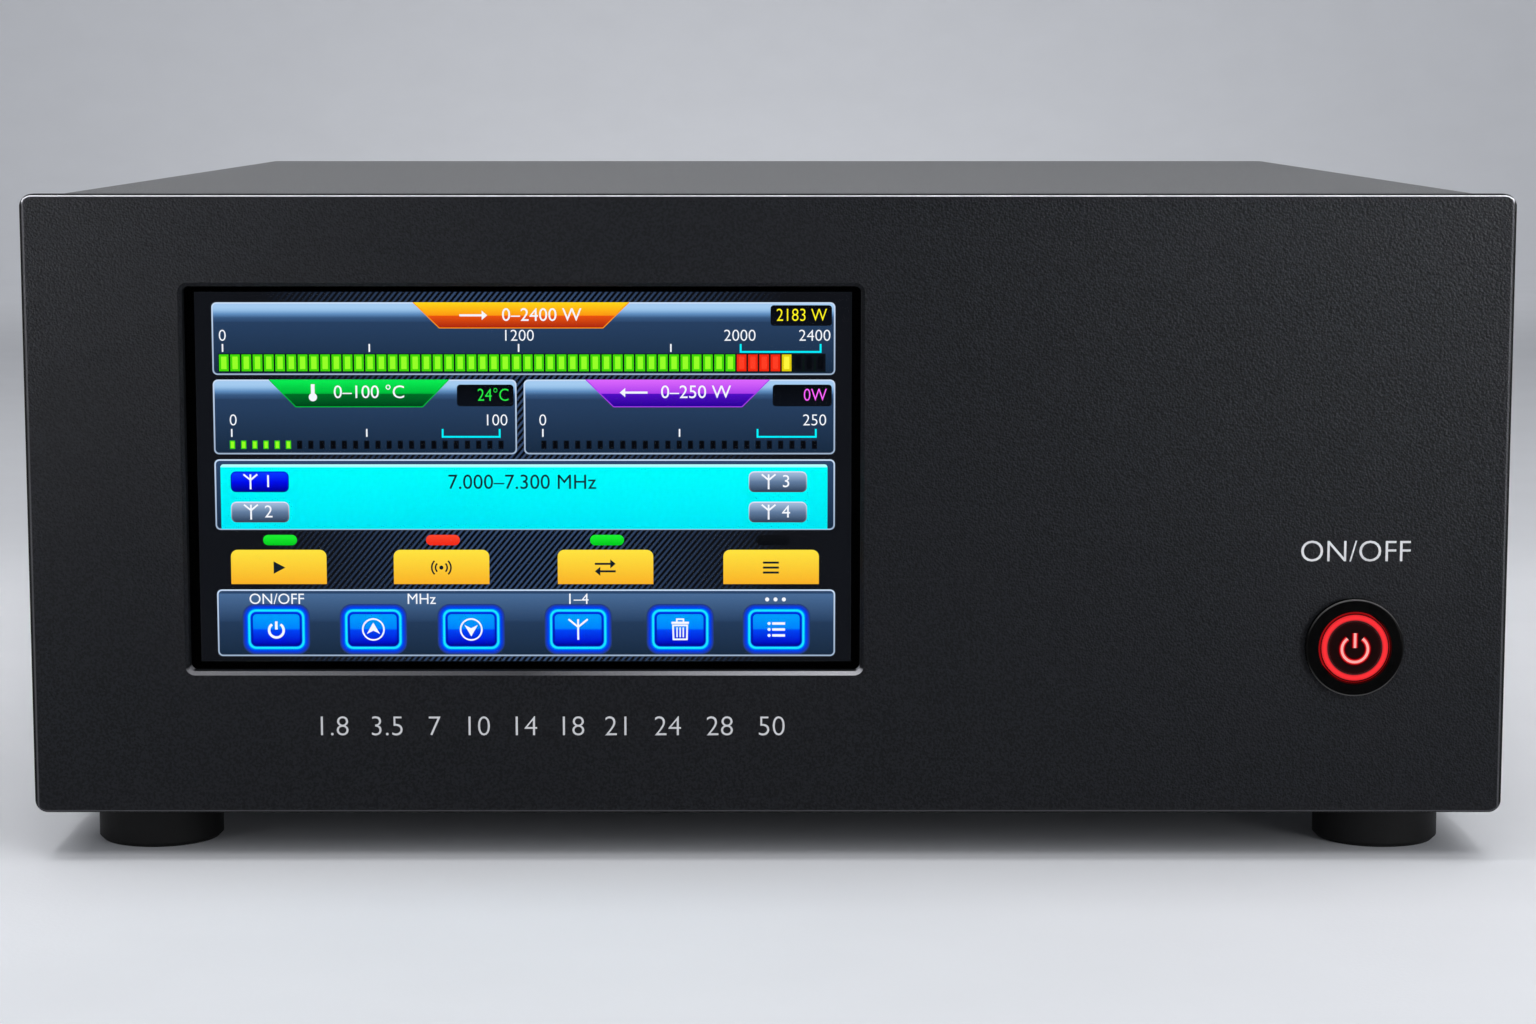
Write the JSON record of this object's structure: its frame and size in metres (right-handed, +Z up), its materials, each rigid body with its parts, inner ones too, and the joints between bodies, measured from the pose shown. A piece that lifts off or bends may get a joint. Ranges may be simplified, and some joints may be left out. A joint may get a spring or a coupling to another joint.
{
  "type": "linear amplifier",
  "caption": "Desktop radio power amplifier in a dark textured metal case, with a recessed colour touch display, a lit push-button, rear fan grilles and coaxial connectors.",
  "frame": {"origin": "on the floor under the centre of the bounding box", "axes": "+Z up, the front panel faces -Y, +X to the right as seen from the front"},
  "size_m": [0.352, 0.4142, 0.16],
  "materials": {
    "panel_coat": "satin",
    "case_coat": "satin",
    "zinc_steel": "satin",
    "spring_steel": "polished",
    "rubber": "matte",
    "glass": "polished",
    "display": "gloss",
    "button_black": "satin",
    "button_cap": "satin",
    "red_light": "gloss",
    "black_plastic": "satin",
    "nickel": "polished",
    "white_insulator": "satin",
    "gold": "polished",
    "bare_aluminium": "satin",
    "copper": "satin",
    "circuit_board": "satin",
    "supply_case": "satin",
    "ferrite": "matte",
    "component": "satin"
  },
  "bodies": {
    "case": {"front_panel": "panel_coat", "top_cover": "case_coat", "base_tray": "case_coat", "rear_panel": "case_coat", "front_bulkhead": "zinc_steel", "corner_posts": "zinc_steel", "display_bracket": "zinc_steel", "display_standoffs": "zinc_steel", "supply_shelf": "zinc_steel", "board_standoffs": "zinc_steel", "power_button_nut": "zinc_steel", "power_button_spring": "spring_steel", "foot_front_left": "rubber", "foot_front_right": "rubber", "foot_rear_left": "rubber", "foot_rear_right": "rubber", "power_button_seal": "rubber", "display_gasket": "rubber", "touch_glass": "glass", "lcd_module": "display", "power_button_body": "button_black", "fan_frame_left": "black_plastic", "fan_frame_right": "black_plastic", "power_button_switch": "black_plastic", "mains_inlet": "black_plastic", "antenna_connector_1": "nickel", "antenna_connector_2": "nickel", "antenna_connector_3": "nickel", "antenna_connector_4": "nickel", "rf_input_connector": "nickel", "control_sockets": "nickel", "mains_inlet_blades": "nickel", "connector_insulators": "white_insulator", "connector_contacts": "gold", "ground_terminal": "gold", "heatsink": "bare_aluminium", "heatsink_rails": "bare_aluminium", "heat_spreader": "copper", "dc_busbars": "copper", "display_board": "circuit_board", "pa_board": "circuit_board", "filter_board": "circuit_board", "antenna_board": "circuit_board", "control_board": "circuit_board", "power_supply_lower": "supply_case", "power_supply_upper": "supply_case", "rf_transformers": "ferrite", "filter_coils": "ferrite", "relays": "component", "rf_transistors": "component"},
    "power_button": {"power_button_cap": "button_cap", "power_button_ring": "red_light"},
    "left_fan_rotor": {"fan_rotor_left": "black_plastic"},
    "right_fan_rotor": {"fan_rotor_right": "black_plastic"}
  },
  "joints": [
    {"name": "power_button_press", "type": "slide", "parent": "case", "child": "power_button", "axis": [0, 1, 0], "range_m": [0, 0.0025], "stiffness_N_per_m": 900, "springref_m": -0.001, "deforming": ["power_button_spring"]},
    {"name": "left_fan_spin", "type": "hinge", "parent": "case", "child": "left_fan_rotor", "pos_m": [-0.1124, 0.175, 0.086], "axis": [0, 1, 0], "continuous": true},
    {"name": "right_fan_spin", "type": "hinge", "parent": "case", "child": "right_fan_rotor", "pos_m": [-0.0164, 0.175, 0.086], "axis": [0, 1, 0], "continuous": true}
  ]
}
